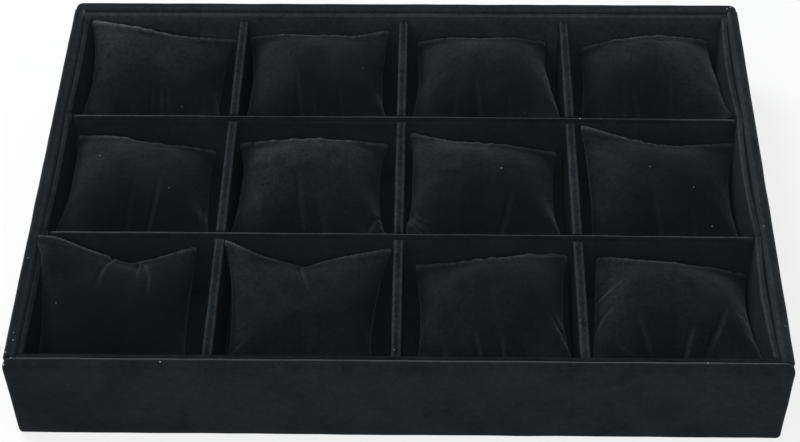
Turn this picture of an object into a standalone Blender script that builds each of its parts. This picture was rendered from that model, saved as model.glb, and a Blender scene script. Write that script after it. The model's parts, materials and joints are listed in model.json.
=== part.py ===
# Velvet display tray for watches: a shallow wrapped box, thin lining cards, an
# interlocking grid of dividers and twelve stuffed pillows, one in each compartment.
# Metres, +Z up. The origin is under the middle of the base, +X runs along the long
# side and +Y to the back.

import math

import bmesh
import bpy

MM = 0.001

# Overall size of the wrapped box
TRAY_LENGTH = 350 * MM
TRAY_DEPTH = 244 * MM
TRAY_HEIGHT = 51 * MM

# Boards of the box, measured over their velvet
WALL_THICKNESS = 5.5 * MM
WALL_EDGE_RADIUS = 1.8 * MM
WALL_FOOT_RADIUS = 0.8 * MM
SHARP_EDGE_DEGREES = 50
CORNER_RADIUS_TOP = 4.0 * MM
CORNER_RADIUS_FOOT = 2.2 * MM
BASE_THICKNESS = 3.0 * MM
FLOOR_CARD_THICKNESS = 1.8 * MM

# Cards that line the walls
LINING_THICKNESS = 2.8 * MM
LINING_DROP = 1.8 * MM
LINING_EDGE_RADIUS = 1.0 * MM
LEFT_CARD_BOW = 0.7 * MM
RIGHT_CARD_BOW = 1.6 * MM

# Grid of dividers
COLUMNS = 4
ROWS = 3
DIVIDER_THICKNESS = 4.6 * MM
DIVIDER_DROP = 5.0 * MM
DIVIDER_EDGE_RADIUS = 1.1 * MM
SLOT_SHARE = 0.5
GRID_SHIFT = -0.8 * MM

# The row dividers are a little bent: how far each stands back from its even place at
# its left end, at its crossings and at its right end, in millimetres.
ROW_SETBACKS = ((0.9, 1.1, 1.2, 0.5, 0.0), (-0.8, -0.7, -0.7, -1.1, -1.7))

# Gap between pieces that touch or fit into each other
FIT_GAP = 0.3 * MM

# Pillows: how far the stuffed top rises over the sheet between the sewn ends, how
# far the ends pull in and that sheet sags, and the width and depth of a gather
PILLOW_CLEARANCE = 0.45 * MM
PILLOW_CROWN = 20.0 * MM
END_INSET = 4.0 * MM
SIDE_SAG = 6.0 * MM
GATHER_WIDTH = 1.9 * MM
GATHER_DEPTH = 1.0 * MM

# Shape of the stuffing: the higher the power, the flatter the middle and the steeper
# the fall to the edge. A roundness under 1 turns the cover over the sides in a curve,
# while at the two ends it runs flat into the seam.
CROWN_POWER_ACROSS = 2.0
CROWN_POWER_ALONG = 2.2
BELLY_POWER = 3.0
CROWN_ROUNDNESS = 0.75
BELLY_ROUNDNESS = 0.65
LEAST_RISE_SHARE = 0.3
GATHER_START_SHARE = 0.12
SEAM_EASE = 0.5

# Faces of a pillow's cover
COLUMNS_OF_FACES = 12
ROWS_OF_FACES = 10

ARC_STEPS = 3
CORNER_STEPS = 5
CARD_STEPS = 6

# Heights that follow from the sizes above
FLOOR_CARD_BOTTOM = BASE_THICKNESS + FIT_GAP
FLOOR_TOP = FLOOR_CARD_BOTTOM + FLOOR_CARD_THICKNESS
STANDING_HEIGHT = FLOOR_TOP + FIT_GAP
LINING_TOP = TRAY_HEIGHT - LINING_DROP
DIVIDER_TOP = TRAY_HEIGHT - DIVIDER_DROP
COMPARTMENT_DEPTH = DIVIDER_TOP - FLOOR_TOP

# Half sizes between the walls and between the lining cards
WALL_ROOM_X = TRAY_LENGTH / 2 - WALL_THICKNESS - FIT_GAP
WALL_ROOM_Y = TRAY_DEPTH / 2 - WALL_THICKNESS - FIT_GAP
CELL_ROOM_X = WALL_ROOM_X - LINING_THICKNESS
CELL_ROOM_Y = WALL_ROOM_Y - LINING_THICKNESS

COLUMN_PITCH = (2 * CELL_ROOM_X + DIVIDER_THICKNESS) / COLUMNS
ROW_PITCH = (2 * CELL_ROOM_Y + DIVIDER_THICKNESS) / ROWS
PILLOW_HALF_WIDTH = (COLUMN_PITCH - DIVIDER_THICKNESS) / 2 - PILLOW_CLEARANCE

# One entry for each pillow, by row from the back and column from the left.
# "back" and "front" are the heights of the two sewn ends over the floor card, in
# percent of the compartment's depth, from the left corner to the right one. "left" and
# "right" are how far that side pulls in at its back corner, in its middle and at its
# front corner, in millimetres. "gathers" start at the front end and "tucks" at the
# back one: each is its place across the pillow, its reach from the end and its lean,
# in shares of half the pillow. A slacker pillow has its own share of the crown.
PILLOWS = {
    (1, 1): {"back": (98, 95, 83, 74, 66), "front": (80, 54, 36, 44, 61),
             "left": (0.8, 1.7, 0), "right": (3.5, 8.0, 3.0),
             "gathers": ((-0.02, 0.75, -0.05), (0.45, 0.7, 0.05)),
             "crown": 0.8},
    (1, 2): {"back": (71, 82, 80, 78, 83), "front": (71, 51, 39, 44, 63),
             "left": (1.2, 1.2, 0), "right": (5.0, 7.0, 1.5),
             "gathers": ((-0.26, 1.1, -0.08), (0.28, 0.8, -0.02))},
    (1, 3): {"back": (63, 77, 77, 77, 63), "front": (68, 46, 36, 54, 90),
             "left": (5.0, 3.5, 0), "right": (7.0, 3.5, 0),
             "gathers": ((-0.14, 1.0, -0.02), (0.22, 0.8, 0.03))},
    (1, 4): {"back": (54, 73, 83, 80, 68), "front": (61, 44, 36, 56, 98),
             "left": (7.5, 6.0, 2.5), "right": (6.5, 0, 0),
             "gathers": ((-0.3, 1.0, -0.12), (0.12, 1.0, -0.02))},
    (2, 1): {"back": (73, 82, 73, 65, 49), "front": (90, 61, 36, 44, 63),
             "left": (2.4, 0, 0), "right": (8.0, 7.5, 3.0),
             "gathers": ((-0.3, 0.9, 0.08), (0.0, 1.15, 0.14))},
    (2, 2): {"back": (61, 76, 83, 76, 61), "front": (83, 56, 36, 46, 68),
             "left": (2.5, 1.0, 0), "right": (5.5, 6.5, 0.5),
             "gathers": ((-0.22, 1.25, 0.0), (0.1, 0.9, 0.06))},
    (2, 3): {"back": (87, 82, 77, 67, 49), "front": (93, 58, 36, 44, 66),
             "left": (2.6, 2.2, 0), "right": (3.5, 4.6, 0),
             "gathers": ((-0.3, 0.7, 0.05), (0.15, 1.0, 0.12))},
    (2, 4): {"back": (98, 89, 78, 73, 68), "front": (56, 41, 36, 46, 66),
             "left": (3.0, 5.8, 5.0), "right": (0, 1.6, 0),
             "gathers": ((-0.1, 0.9, -0.1), (0.3, 0.6, 0.0))},
    (3, 1): {"back": (95, 88, 71, 79, 83), "front": (54, 41, 34, 39, 54),
             "left": (0, 0, 1.2), "right": (8.0, 10.5, 7.0),
             "tucks": ((-0.36, 0.7, -0.16), (0.13, 0.75, 0.03))},
    (3, 2): {"back": (98, 72, 62, 79, 85), "front": (58, 41, 34, 39, 54),
             "left": (0.5, 3.6, 2.5), "right": (1.0, 8.0, 5.5),
             "tucks": ((-0.14, 0.45, 0.08),)},
    (3, 3): {"back": (56, 67, 78, 83, 76), "front": (66, 46, 36, 51, 78),
             "left": (5.4, 6.8, 5.0), "right": (2.5, 3.6, 0),
             "gathers": ((-0.1, 1.0, -0.08), (0.08, 0.8, 0.0))},
    (3, 4): {"back": (76, 78, 76, 65, 46), "front": (95, 63, 36, 50, 85),
             "left": (6.0, 3.5, 0.2), "right": (2.0, 0, 0),
             "gathers": ((0.02, 1.0, 0.16), (0.3, 1.2, 0.26))},
}

VELVET = {"box": (0.0125, 0.0150, 0.0175), "lining": (0.0100, 0.0130, 0.0155),
          "divider": (0.0120, 0.0150, 0.0175), "pillow": (0.0088, 0.0112, 0.0128)}
VELVET_ROUGHNESS = 0.95


def clear_scene():
    for item in list(bpy.data.objects):
        bpy.data.objects.remove(item, do_unlink=True)


def velvet(name, colour):
    material = bpy.data.materials.new(name)
    material.use_nodes = True
    shader = material.node_tree.nodes["Principled BSDF"]
    shader.inputs["Base Color"].default_value = (*colour, 1.0)
    shader.inputs["Roughness"].default_value = VELVET_ROUGHNESS
    shader.inputs["Metallic"].default_value = 0.0
    material.diffuse_color = (*colour, 1.0)
    return material


def add_piece(name, shape, finish, turn_outwards=True):
    """Turns a bmesh into a named object with its own velvet."""
    if turn_outwards:
        bmesh.ops.recalc_face_normals(shape, faces=shape.faces)
    mesh = bpy.data.meshes.new(name)
    shape.to_mesh(mesh)
    shape.free()
    piece = bpy.data.objects.new(name, mesh)
    bpy.context.scene.collection.objects.link(piece)
    mesh.materials.append(velvet(name + "_velvet", VELVET[finish]))
    return piece


def arc(centre, radius, start, end, steps):
    """Points of an arc, with the angles in degrees."""
    points = []
    for step in range(steps + 1):
        angle = math.radians(start + (end - start) * step / steps)
        x = centre[0] + radius * math.cos(angle)
        z = centre[1] + radius * math.sin(angle)
        points.append((x, z))
    return points


def board_section(thickness, bottom, top, top_radius, foot_radius=0.0):
    """Cross-section of a wrapped board, centred on its thickness."""
    half = thickness / 2
    points = arc((half - top_radius, top - top_radius), top_radius, 0, 90, ARC_STEPS)
    points += arc((top_radius - half, top - top_radius), top_radius, 90, 180, ARC_STEPS)
    if foot_radius:
        left = (foot_radius - half, bottom + foot_radius)
        right = (half - foot_radius, bottom + foot_radius)
        points += arc(left, foot_radius, 180, 270, ARC_STEPS)
        points += arc(right, foot_radius, 270, 360, ARC_STEPS)
    else:
        points += [(-half, bottom), (half, bottom)]
    return points


def swept_board(name, section, stations, along_x, finish):
    """Sweeps a section through stations of (place along, sideways offset)."""
    shape = bmesh.new()
    rings = []
    for place, sideways in stations:
        ring = []
        for across, height in section:
            if along_x:
                spot = (place, across + sideways, height)
            else:
                spot = (across + sideways, place, height)
            ring.append(shape.verts.new(spot))
        rings.append(ring)
    count = len(section)
    for before, after in zip(rings, rings[1:]):
        for index in range(count):
            following = (index + 1) % count
            shape.faces.new((before[index], before[following], after[following], after[index]))
    shape.faces.new(rings[0])
    shape.faces.new(rings[-1])
    return add_piece(name, shape, finish)


def flat_card(name, half_x, half_y, bottom, thickness, finish):
    shape = bmesh.new()
    bmesh.ops.create_cube(shape, size=1.0)
    for corner in shape.verts:
        corner.co.x *= 2 * half_x
        corner.co.y *= 2 * half_y
        corner.co.z = bottom + (corner.co.z + 0.5) * thickness
    return add_piece(name, shape, finish)


def long_wall(name, centre_y):
    """Front or back wall: it covers the ends of the side walls, so its own top
    corners are rounded over and its whole rim is softened by the wrap."""
    half = TRAY_LENGTH / 2
    top, foot = CORNER_RADIUS_TOP, CORNER_RADIUS_FOOT
    outline = arc((half - top, TRAY_HEIGHT - top), top, 0, 90, CORNER_STEPS)
    outline += arc((top - half, TRAY_HEIGHT - top), top, 90, 180, CORNER_STEPS)
    outline += arc((foot - half, foot), foot, 180, 270, ARC_STEPS)
    outline += arc((half - foot, foot), foot, 270, 360, ARC_STEPS)
    shape = bmesh.new()
    rim = [shape.verts.new((x, centre_y - WALL_THICKNESS / 2, z)) for x, z in outline]
    face = shape.faces.new(rim)
    pulled = bmesh.ops.extrude_face_region(shape, geom=[face])
    for item in pulled["geom"]:
        if isinstance(item, bmesh.types.BMVert):
            item.co.y += WALL_THICKNESS
    wall = add_piece(name, shape, "box")
    rounding = wall.modifiers.new("wrapped_edge", "BEVEL")
    rounding.width = WALL_EDGE_RADIUS
    rounding.segments = ARC_STEPS
    rounding.limit_method = "ANGLE"
    rounding.angle_limit = math.radians(SHARP_EDGE_DEGREES)
    return wall


def build_box():
    flat_card("base_board", WALL_ROOM_X, WALL_ROOM_Y, 0.0, BASE_THICKNESS, "box")
    flat_card("floor_card", WALL_ROOM_X, WALL_ROOM_Y, FLOOR_CARD_BOTTOM,
              FLOOR_CARD_THICKNESS, "lining")
    centre_y = (TRAY_DEPTH - WALL_THICKNESS) / 2
    long_wall("front_wall", -centre_y)
    long_wall("back_wall", centre_y)
    section = board_section(WALL_THICKNESS, 0.0, TRAY_HEIGHT, WALL_EDGE_RADIUS, WALL_FOOT_RADIUS)
    centre_x = (TRAY_LENGTH - WALL_THICKNESS) / 2
    for name, side in (("left_wall", -1), ("right_wall", 1)):
        stations = ((-WALL_ROOM_Y, side * centre_x), (WALL_ROOM_Y, side * centre_x))
        swept_board(name, section, stations, False, "box")


def column_places():
    first = GRID_SHIFT - COLUMN_PITCH * (COLUMNS - 2) / 2
    return [first + COLUMN_PITCH * index for index in range(COLUMNS - 1)]


def row_line(index):
    """Depth of a row divider at its left end, at its crossings and at its right end."""
    even = ROW_PITCH * (ROWS - 2) / 2 - ROW_PITCH * index
    return [even + setback * MM for setback in ROW_SETBACKS[index]]


def cell_bounds(row, column):
    """Free space of a compartment as left, right, front and back."""
    half = DIVIDER_THICKNESS / 2
    columns = column_places()
    left = -CELL_ROOM_X if column == 1 else columns[column - 2] + half
    right = CELL_ROOM_X if column == COLUMNS else columns[column - 1] - half
    front, back = -CELL_ROOM_Y, CELL_ROOM_Y
    if row > 1:
        back = min(row_line(row - 2)[column - 1:column + 1]) - half
    if row < ROWS:
        front = max(row_line(row - 1)[column - 1:column + 1]) + half
    return left, right, front, back


def build_linings():
    section = board_section(LINING_THICKNESS, STANDING_HEIGHT, LINING_TOP, LINING_EDGE_RADIUS)
    centre_y = WALL_ROOM_Y - LINING_THICKNESS / 2
    for name, side in (("front_lining", -1), ("back_lining", 1)):
        stations = ((-WALL_ROOM_X, side * centre_y), (WALL_ROOM_X, side * centre_y))
        swept_board(name, section, stations, True, "lining")
    centre_x = WALL_ROOM_X - LINING_THICKNESS / 2
    sides = (("left", -1, LEFT_CARD_BOW, 0), ("right", 1, RIGHT_CARD_BOW, -1))
    for name, side, bow, end in sides:
        joints = [row_line(index)[end] for index in range(ROWS - 1)]
        backs = [CELL_ROOM_Y - FIT_GAP / 2] + joints
        fronts = joints + [FIT_GAP / 2 - CELL_ROOM_Y]
        for row in range(ROWS):
            back, front = backs[row] - FIT_GAP / 2, fronts[row] + FIT_GAP / 2
            stations = []
            for step in range(CARD_STEPS + 1):
                along = 2 * step / CARD_STEPS - 1
                place = (front + back) / 2 + along * (back - front) / 2
                lean = bow * (1 - along ** 2)
                stations.append((place, side * (centre_x - lean)))
            swept_board(f"{name}_lining_row_{row + 1}", section, stations, False, "lining")


def cut_slots(board, places, board_along_x, bottom, top):
    """Cuts the slots where crossing dividers drop into this one."""
    long_way = DIVIDER_THICKNESS + 2 * FIT_GAP
    through = DIVIDER_THICKNESS * 2
    size = (long_way, through) if board_along_x else (through, long_way)
    for index, (x, y) in enumerate(places):
        shape = bmesh.new()
        bmesh.ops.create_cube(shape, size=1.0)
        for corner in shape.verts:
            corner.co.x = x + corner.co.x * size[0]
            corner.co.y = y + corner.co.y * size[1]
            corner.co.z = bottom if corner.co.z < 0 else top
        cutter = add_piece(f"{board.name}_slot_{index + 1}", shape, "divider")
        cutter.hide_render = True
        cutter.display_type = "WIRE"
        slot = board.modifiers.new(f"slot_{index + 1}", "BOOLEAN")
        slot.operation = "DIFFERENCE"
        slot.solver = "EXACT"
        slot.object = cutter


def build_dividers():
    """Column dividers are slotted from above, row dividers from below."""
    section = board_section(DIVIDER_THICKNESS, STANDING_HEIGHT, DIVIDER_TOP,
                            DIVIDER_EDGE_RADIUS)
    seat = STANDING_HEIGHT + (DIVIDER_TOP - STANDING_HEIGHT) * SLOT_SHARE
    past = DIVIDER_THICKNESS
    columns = column_places()
    rows = [row_line(index) for index in range(ROWS - 1)]
    end_y = CELL_ROOM_Y - FIT_GAP
    for index, x in enumerate(columns):
        stations = ((-end_y, x), (end_y, x))
        board = swept_board(f"column_divider_{index + 1}", section, stations, False, "divider")
        crossings = [(x, line[index + 1]) for line in rows]
        cut_slots(board, crossings, False, seat - FIT_GAP / 2, DIVIDER_TOP + past)
    end_x = CELL_ROOM_X - FIT_GAP
    for index, line in enumerate(rows):
        stations = list(zip([-end_x, *columns, end_x], line))
        board = swept_board(f"row_divider_{index + 1}", section, stations, True, "divider")
        crossings = list(zip(columns, line[1:-1]))
        cut_slots(board, crossings, True, STANDING_HEIGHT - past, seat + FIT_GAP / 2)


def smooth_step(share):
    share = min(max(share, 0.0), 1.0)
    return share * share * (3 - 2 * share)


def edge_height(heights, across):
    """Height of a sewn end between its given points, eased from one to the next."""
    spot = (across + 1) / 2 * (len(heights) - 1)
    index = min(int(spot), len(heights) - 2)
    share = spot - index
    share += SEAM_EASE * (smooth_step(share) - share)
    percent = heights[index] + (heights[index + 1] - heights[index]) * share
    return FLOOR_TOP + COMPARTMENT_DEPTH * percent / 100


def side_inset(insets, bow, along):
    """How far a side pulls in, on the smooth curve through its three given places,
    and past the bow of the card beside it."""
    back, middle, front = insets
    slope = (back - front) / 2
    curve = (back + front) / 2 - middle
    pull = max(middle + slope * along + curve * along ** 2, 0.0)
    return pull * MM + bow * (1 - along ** 2)


def fold_depth(folds, across, along, from_front):
    """How far the gathers press the cover in at one point of a pillow."""
    depth = 0.0
    for place, reach, lean in folds:
        travel = along + 1 if from_front else 1 - along
        centre = place + lean * travel
        fade = smooth_step(1 - travel / reach) * smooth_step(travel / GATHER_START_SHARE)
        distance = (across - centre) * PILLOW_HALF_WIDTH / GATHER_WIDTH
        depth += GATHER_DEPTH * fade * math.exp(-distance * distance)
    return depth


def pillow_point(spec, bounds, bows, across, along, upper):
    """A point of the cover. across runs from the left side to the right one and
    along from the front end to the back one, both from -1 to 1."""
    left, right, front, back = bounds
    centre_x, centre_y = (left + right) / 2, (front + back) / 2
    half_x = (right - left) / 2 - PILLOW_CLEARANCE
    half_y = (back - front) / 2 - PILLOW_CLEARANCE
    open_x, open_y = 1 - across ** 2, 1 - along ** 2

    side, bow = ("left", bows[0]) if across < 0 else ("right", bows[1])
    inset = side_inset(spec[side], bow, along)
    x = centre_x + across * (half_x - inset)
    y = centre_y + along * (half_y - END_INSET * open_x)

    back_end = edge_height(spec["back"], across)
    front_end = edge_height(spec["front"], across)
    share = (along + 1) / 2
    sheet = front_end + (back_end - front_end) * share - SIDE_SAG * open_y

    if upper:
        fullness = (1 - abs(across) ** CROWN_POWER_ACROSS) ** CROWN_ROUNDNESS
        fullness *= 1 - abs(along) ** CROWN_POWER_ALONG
        rise = PILLOW_CROWN * spec.get("crown", 1) * fullness
        folds = fold_depth(spec.get("gathers", ()), across, along, True)
        folds += fold_depth(spec.get("tucks", ()), across, along, False)
        return x, y, sheet + max(rise - folds, rise * LEAST_RISE_SHARE)
    belly = (1 - abs(across) ** BELLY_POWER) ** BELLY_ROUNDNESS
    belly *= 1 - abs(along) ** BELLY_POWER
    return x, y, sheet - (sheet - STANDING_HEIGHT) * belly


def face_columns(spec):
    """Places across the pillow, closer together towards its round sides, with three
    more at the root of each gather."""
    turns = [2 * step / COLUMNS_OF_FACES - 1 for step in range(COLUMNS_OF_FACES + 1)]
    places = [math.sin(turn * math.pi / 2) for turn in turns]
    spread = GATHER_WIDTH / PILLOW_HALF_WIDTH
    for place, reach, lean in spec.get("gathers", ()) + spec.get("tucks", ()):
        middle = place + lean * reach / 2
        nearby = (middle - spread, middle, middle + spread)
        places = [spot for spot in places if abs(spot - middle) > 2 * spread]
        places += nearby
    return sorted(places)


def build_pillow(name, spec, bounds, bows):
    shape = bmesh.new()
    across = face_columns(spec)
    along = [2 * step / ROWS_OF_FACES - 1 for step in range(ROWS_OF_FACES + 1)]
    last_i, last_j = len(across) - 1, len(along) - 1
    upper, lower = {}, {}
    for i, u in enumerate(across):
        for j, v in enumerate(along):
            upper[i, j] = shape.verts.new(pillow_point(spec, bounds, bows, u, v, True))
            if i in (0, last_i) or j in (0, last_j):
                lower[i, j] = upper[i, j]
            else:
                lower[i, j] = shape.verts.new(pillow_point(spec, bounds, bows, u, v, False))
    for i in range(last_i):
        for j in range(last_j):
            corners = ((i, j), (i + 1, j), (i + 1, j + 1), (i, j + 1))
            shape.faces.new([upper[corner] for corner in corners])
            shape.faces.new([lower[corner] for corner in reversed(corners)])
    pillow = add_piece(name, shape, "pillow", turn_outwards=False)
    pillow.data.shade_smooth()
    return pillow


def build_pillows():
    for (row, column), spec in PILLOWS.items():
        left_bow = LEFT_CARD_BOW if column == 1 else 0.0
        right_bow = RIGHT_CARD_BOW if column == COLUMNS else 0.0
        name = f"pillow_row_{row}_column_{column}"
        build_pillow(name, spec, cell_bounds(row, column), (left_bow, right_bow))


clear_scene()
build_box()
build_linings()
build_dividers()
build_pillows()
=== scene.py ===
import json
import math

import bmesh
import bpy
from mathutils import Matrix, Vector, noise


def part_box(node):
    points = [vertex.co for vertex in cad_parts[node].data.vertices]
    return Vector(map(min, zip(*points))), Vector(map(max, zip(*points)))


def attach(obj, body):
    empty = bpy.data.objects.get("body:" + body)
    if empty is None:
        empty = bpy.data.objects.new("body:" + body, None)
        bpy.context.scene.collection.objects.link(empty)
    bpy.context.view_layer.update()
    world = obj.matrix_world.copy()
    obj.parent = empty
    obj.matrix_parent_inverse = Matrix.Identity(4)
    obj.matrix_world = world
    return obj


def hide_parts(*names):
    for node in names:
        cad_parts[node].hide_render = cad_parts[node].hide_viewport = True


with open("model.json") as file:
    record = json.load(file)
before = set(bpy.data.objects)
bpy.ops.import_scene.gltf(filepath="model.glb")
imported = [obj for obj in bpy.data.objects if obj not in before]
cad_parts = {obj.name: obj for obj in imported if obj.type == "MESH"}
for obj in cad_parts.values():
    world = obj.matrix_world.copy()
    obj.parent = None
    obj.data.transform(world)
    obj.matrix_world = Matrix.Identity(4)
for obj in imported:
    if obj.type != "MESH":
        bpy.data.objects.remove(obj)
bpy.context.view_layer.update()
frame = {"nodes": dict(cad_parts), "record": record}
mm = 0.001
scene = bpy.context.scene
print("frame loaded:", len(frame["nodes"]), "nodes")


class Thread:  # one socket of a node tree, with arithmetic
    def __init__(self, tree, socket):
        self.tree = tree
        self.socket = socket

    def knot(self, kind, setup=None, feeds=None, out=0):
        node = self.tree.nodes.new(kind)
        for key, value in (setup or {}).items():
            setattr(node, key, value)
        for key, value in (feeds or {}).items():
            if isinstance(value, Thread):
                self.tree.links.new(value.socket, node.inputs[key])
            else:
                node.inputs[key].default_value = value
        return Thread(self.tree, node.outputs[out])

    def sum(self, operation, first, second):
        return self.knot("ShaderNodeMath", {"operation": operation}, {0: first, 1: second})

    def __add__(self, other):
        return self.sum("ADD", self, other)

    def __mul__(self, other):
        return self.sum("MULTIPLY", self, other)

    __radd__ = __add__
    __rmul__ = __mul__


def blendColours(thread, share, first, second):
    return thread.knot("ShaderNodeMix", {"data_type": "RGBA"},
                       {0: share, 6: first, 7: second}, out=2)


def dimColour(thread, colour, share):
    return thread.knot("ShaderNodeVectorMath", {"operation": "SCALE"},
                       {"Vector": colour, "Scale": share})


# flat: colour where the nap lies down, raised: where it stands up, wearAndHighlight: the colour
# of worn places and of the painted sheen highlights on edges, seams and fold ridges,
# wearAndHighlightShare: how much of that colour such a place takes. patch, grain and pile are
# the sizes of brushed areas, tufts and fibres in metres, bump: how much they cast shade. sheen:
# light caught at a grazing angle, gloss: mirrored light. least and most: the noise at which the
# nap starts to rise and at which it stands, deep: how much of the painted glow the darkest nap
# gets.
boxVelvet = {"flat": (0.0040, 0.0052, 0.0064), "raised": (0.0130, 0.0160, 0.0190),
             "patch": 0.030, "grain": 0.0030, "pile": 0.0008, "bump": 0.40,
             "wearAndHighlight": (0.055, 0.062, 0.067), "wearAndHighlightShare": 0.8, "sheen": 0.11, "sheenRough": 0.35,
             "least": 0.39, "most": 0.63, "gloss": 0.08, "deep": 0.35}
# The lining velvet is lighter than the box velvet as painted light, to lift its faces out of the
# shade inside the tray.
liningVelvet = {"flat": (0.0085, 0.0104, 0.0124), "raised": (0.0225, 0.0265, 0.0312),
                "patch": 0.040, "grain": 0.0030, "pile": 0.0008, "bump": 0.35,
                "wearAndHighlight": (0.050, 0.056, 0.062), "wearAndHighlightShare": 0.8, "sheen": 0.04, "sheenRough": 0.35,
                "least": 0.39, "most": 0.63, "gloss": 0.0, "deep": 0.4}
columnVelvet = {"flat": (0.0085, 0.0105, 0.0124), "raised": (0.0300, 0.0353, 0.0402),
                "patch": 0.020, "grain": 0.0022, "pile": 0.0008, "bump": 0.40,
                "wearAndHighlight": (0.060, 0.068, 0.076), "wearAndHighlightShare": 0.9, "sheen": 0.02, "sheenRough": 0.35,
                "least": 0.41, "most": 0.61, "gloss": 0.0, "deep": 0.4}
rowVelvet = {"flat": (0.0062, 0.0082, 0.0096), "raised": (0.0132, 0.0165, 0.0190),
             "patch": 0.030, "grain": 0.0030, "pile": 0.0008, "bump": 0.35,
             "wearAndHighlight": (0.060, 0.070, 0.076), "wearAndHighlightShare": 1.0, "sheen": 0.04, "sheenRough": 0.35,
             "least": 0.39, "most": 0.63, "gloss": 0.0, "deep": 0.35}
pillowVelvet = {"flat": (0.0012, 0.0018, 0.0022), "raised": (0.0098, 0.0122, 0.0138),
                "patch": 0.022, "grain": 0.0022, "pile": 0.0008, "bump": 0.60,
                "wearAndHighlight": (0.070, 0.078, 0.084), "wearAndHighlightShare": 1.1, "sheen": 0.12, "sheenRough": 0.32,
                "least": 0.40, "most": 0.62, "gloss": 0.08, "deep": 0.62}

# What all velvets share. paintedGlow: a faint glow the velvet gives off, painted light that
# fills the deepest gaps. lift: how much each noise raises the nap. wornAndLit: how strongly
# grain and pile show where there is wear and painted sheen, and the least of each. shade: how
# high fibres and tufts stand for the bump, whose depth is in metres.
everyVelvet = {"paintedGlow": (0.0032, 0.0044, 0.0051), "tint": (0.86, 0.93, 1.0, 1), "rough": 0.95,
               "lift": {"patch": 0.45, "grain": 0.3, "pile": 0.25},
               "wornAndLit": {"grain": (0.9, 0.15), "pile": (0.8, 0.6)},
               "shade": {"grain": 0.9, "pile": 0.6}, "depth": 0.0006,
               "noise": {"patch": {"Detail": 3.0, "Roughness": 0.55, "Distortion": 0.6},
                         "grain": {"Detail": 2.0, "Roughness": 0.6},
                         "pile": {"Detail": 1.0, "Roughness": 0.5}}}


def makeVelvet(name, look):
    material = bpy.data.materials.new(name)
    material.use_nodes = True
    tree = material.node_tree
    shader = tree.nodes["Principled BSDF"]
    start = Thread(tree, None)
    place = start.knot("ShaderNodeTexCoord", out="Object")
    made = {kind: start.knot("ShaderNodeTexNoise", {},
                             {"Vector": place, "Scale": 1 / look[kind], **settings})
            for kind, settings in everyVelvet["noise"].items()}
    grain, pile = made["grain"], made["pile"]
    mix, shade = everyVelvet["lift"], everyVelvet["shade"]
    height = made["patch"] * mix["patch"] + grain * mix["grain"] + pile * mix["pile"]
    lift = start.knot("ShaderNodeMapRange", {}, {"Value": height, "From Min": look["least"],
                                                 "From Max": look["most"]})
    colour = blendColours(start, lift, (*look["flat"], 1), (*look["raised"], 1))
    # wear together with painted sheen highlights on board edges, pillow seams and fold ridges
    edgeWearAndSheen = start.knot("ShaderNodeAttribute", {"attribute_name": "edgeWearAndSheen"}, out="Fac")
    wornAndLit = edgeWearAndSheen
    for kind, (strength, least) in everyVelvet["wornAndLit"].items():
        wornAndLit = wornAndLit * (made[kind] * strength + least)
    colour = blendColours(start, wornAndLit * look["wearAndHighlightShare"], colour, (*look["wearAndHighlight"], 1))
    # brightness of the brushed nap together with painted light and shade, which scales the base
    # colour
    napAndShade = start.knot("ShaderNodeAttribute", {"attribute_name": "napAndShade"}, out="Fac")
    tree.links.new(dimColour(start, colour, napAndShade).socket, shader.inputs["Base Color"])
    # painted glow: emitted light that stands in for light in the deepest gaps, weaker where the
    # nap and painted shade are darker
    share = start.knot("ShaderNodeMapRange", {}, {"Value": napAndShade, "To Min": look["deep"],
                                                  "To Max": 1.0})
    glow = dimColour(start, everyVelvet["paintedGlow"], share)
    tree.links.new(glow.socket, shader.inputs["Emission Color"])
    shader.inputs["Emission Strength"].default_value = 1.0
    shader.inputs["Roughness"].default_value = everyVelvet["rough"]
    shader.inputs["Specular IOR Level"].default_value = look["gloss"]
    shader.inputs["Sheen Weight"].default_value = look["sheen"]
    shader.inputs["Sheen Roughness"].default_value = look["sheenRough"]
    shader.inputs["Sheen Tint"].default_value = everyVelvet["tint"]
    bump = start.knot("ShaderNodeBump", {}, {"Strength": look["bump"],
                      "Height": pile * shade["pile"] + grain * shade["grain"],
                      "Distance": everyVelvet["depth"]})
    tree.links.new(bump.socket, shader.inputs["Normal"])
    return material


velvets = {"box_velvet": makeVelvet("box velvet", boxVelvet),
           "lining_velvet": makeVelvet("lining velvet", liningVelvet),
           "column_velvet": makeVelvet("column velvet", columnVelvet),
           "row_velvet": makeVelvet("row velvet", rowVelvet),
           "pillow_velvet": makeVelvet("pillow velvet", pillowVelvet)}
print("velvets mixed")


# cut and fewest: how often a face is cut so that the cloth can wander, wander and wave: how
# far it wanders and over what length, bin: the length over which a bent board's middle is
# found, strip: how deep the wear and painted sheen highlight of a top edge reach. facing,
# wornAndLit and dusk: where a face counts as turned up, where the wear and painted sheen of an
# edge start and where the darker left end starts, and how far each takes to be full. flat and
# round are angles in degrees.
boardCloth = {"cut": 0.006, "fewest": 5, "wander": 0.00022, "wave": 0.016, "bin": 0.010,
              "strip": 0.004, "facing": (0, 0.3), "wornAndLit": (0.3, 0.4), "dusk": (0.07, 0.1),
              "flat": 0.5, "round": 40}
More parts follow.
